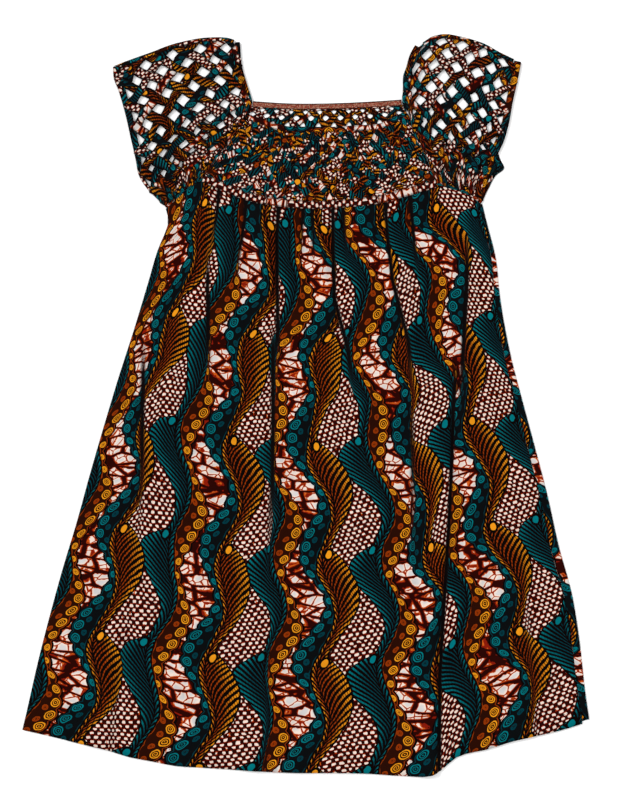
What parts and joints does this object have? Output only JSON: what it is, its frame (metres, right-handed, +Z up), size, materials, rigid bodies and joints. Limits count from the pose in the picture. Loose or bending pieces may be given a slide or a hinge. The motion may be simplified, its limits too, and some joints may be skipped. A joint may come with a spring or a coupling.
{
  "type": "dress",
  "caption": "African wax-print dress laid flat, with a woven-strip lattice yoke and cap sleeves, a square neck and a gathered A-line body.",
  "frame": {"origin": "middle of the dress's length and width on the surface it lies on", "axes": "+Z up from the surface towards the front of the dress, +Y towards the neck, +X towards the right of the picture"},
  "size_m": [0.7375, 0.9659, 0.0092],
  "materials": {
    "body_print": "plain-weave printed cotton, matt with a faint sheen, teal, orange, brown and pinkish white",
    "woven_strips": "folded strips of the same printed cotton, woven over and under",
    "binding_print": "folded bands of the same printed cotton",
    "neck_facing": "pale selvedge edge of the same cotton, left plain"
  },
  "bodies": {
    "root": {"front_panel": "body_print", "back_panel": "body_print", "front_yoke": "woven_strips", "back_yoke": "woven_strips", "front_yoke_band": "binding_print", "back_yoke_band": "binding_print", "neck_front": "binding_print", "neck_back": "neck_facing", "neck_left": "binding_print", "neck_right": "binding_print", "sleeve_left_front": "woven_strips", "sleeve_left_back": "woven_strips", "sleeve_right_front": "woven_strips", "sleeve_right_back": "woven_strips", "cuff_left": "binding_print", "cuff_right": "binding_print", "armhole_left": "binding_print", "armhole_right": "binding_print"}
  },
  "joints": []
}
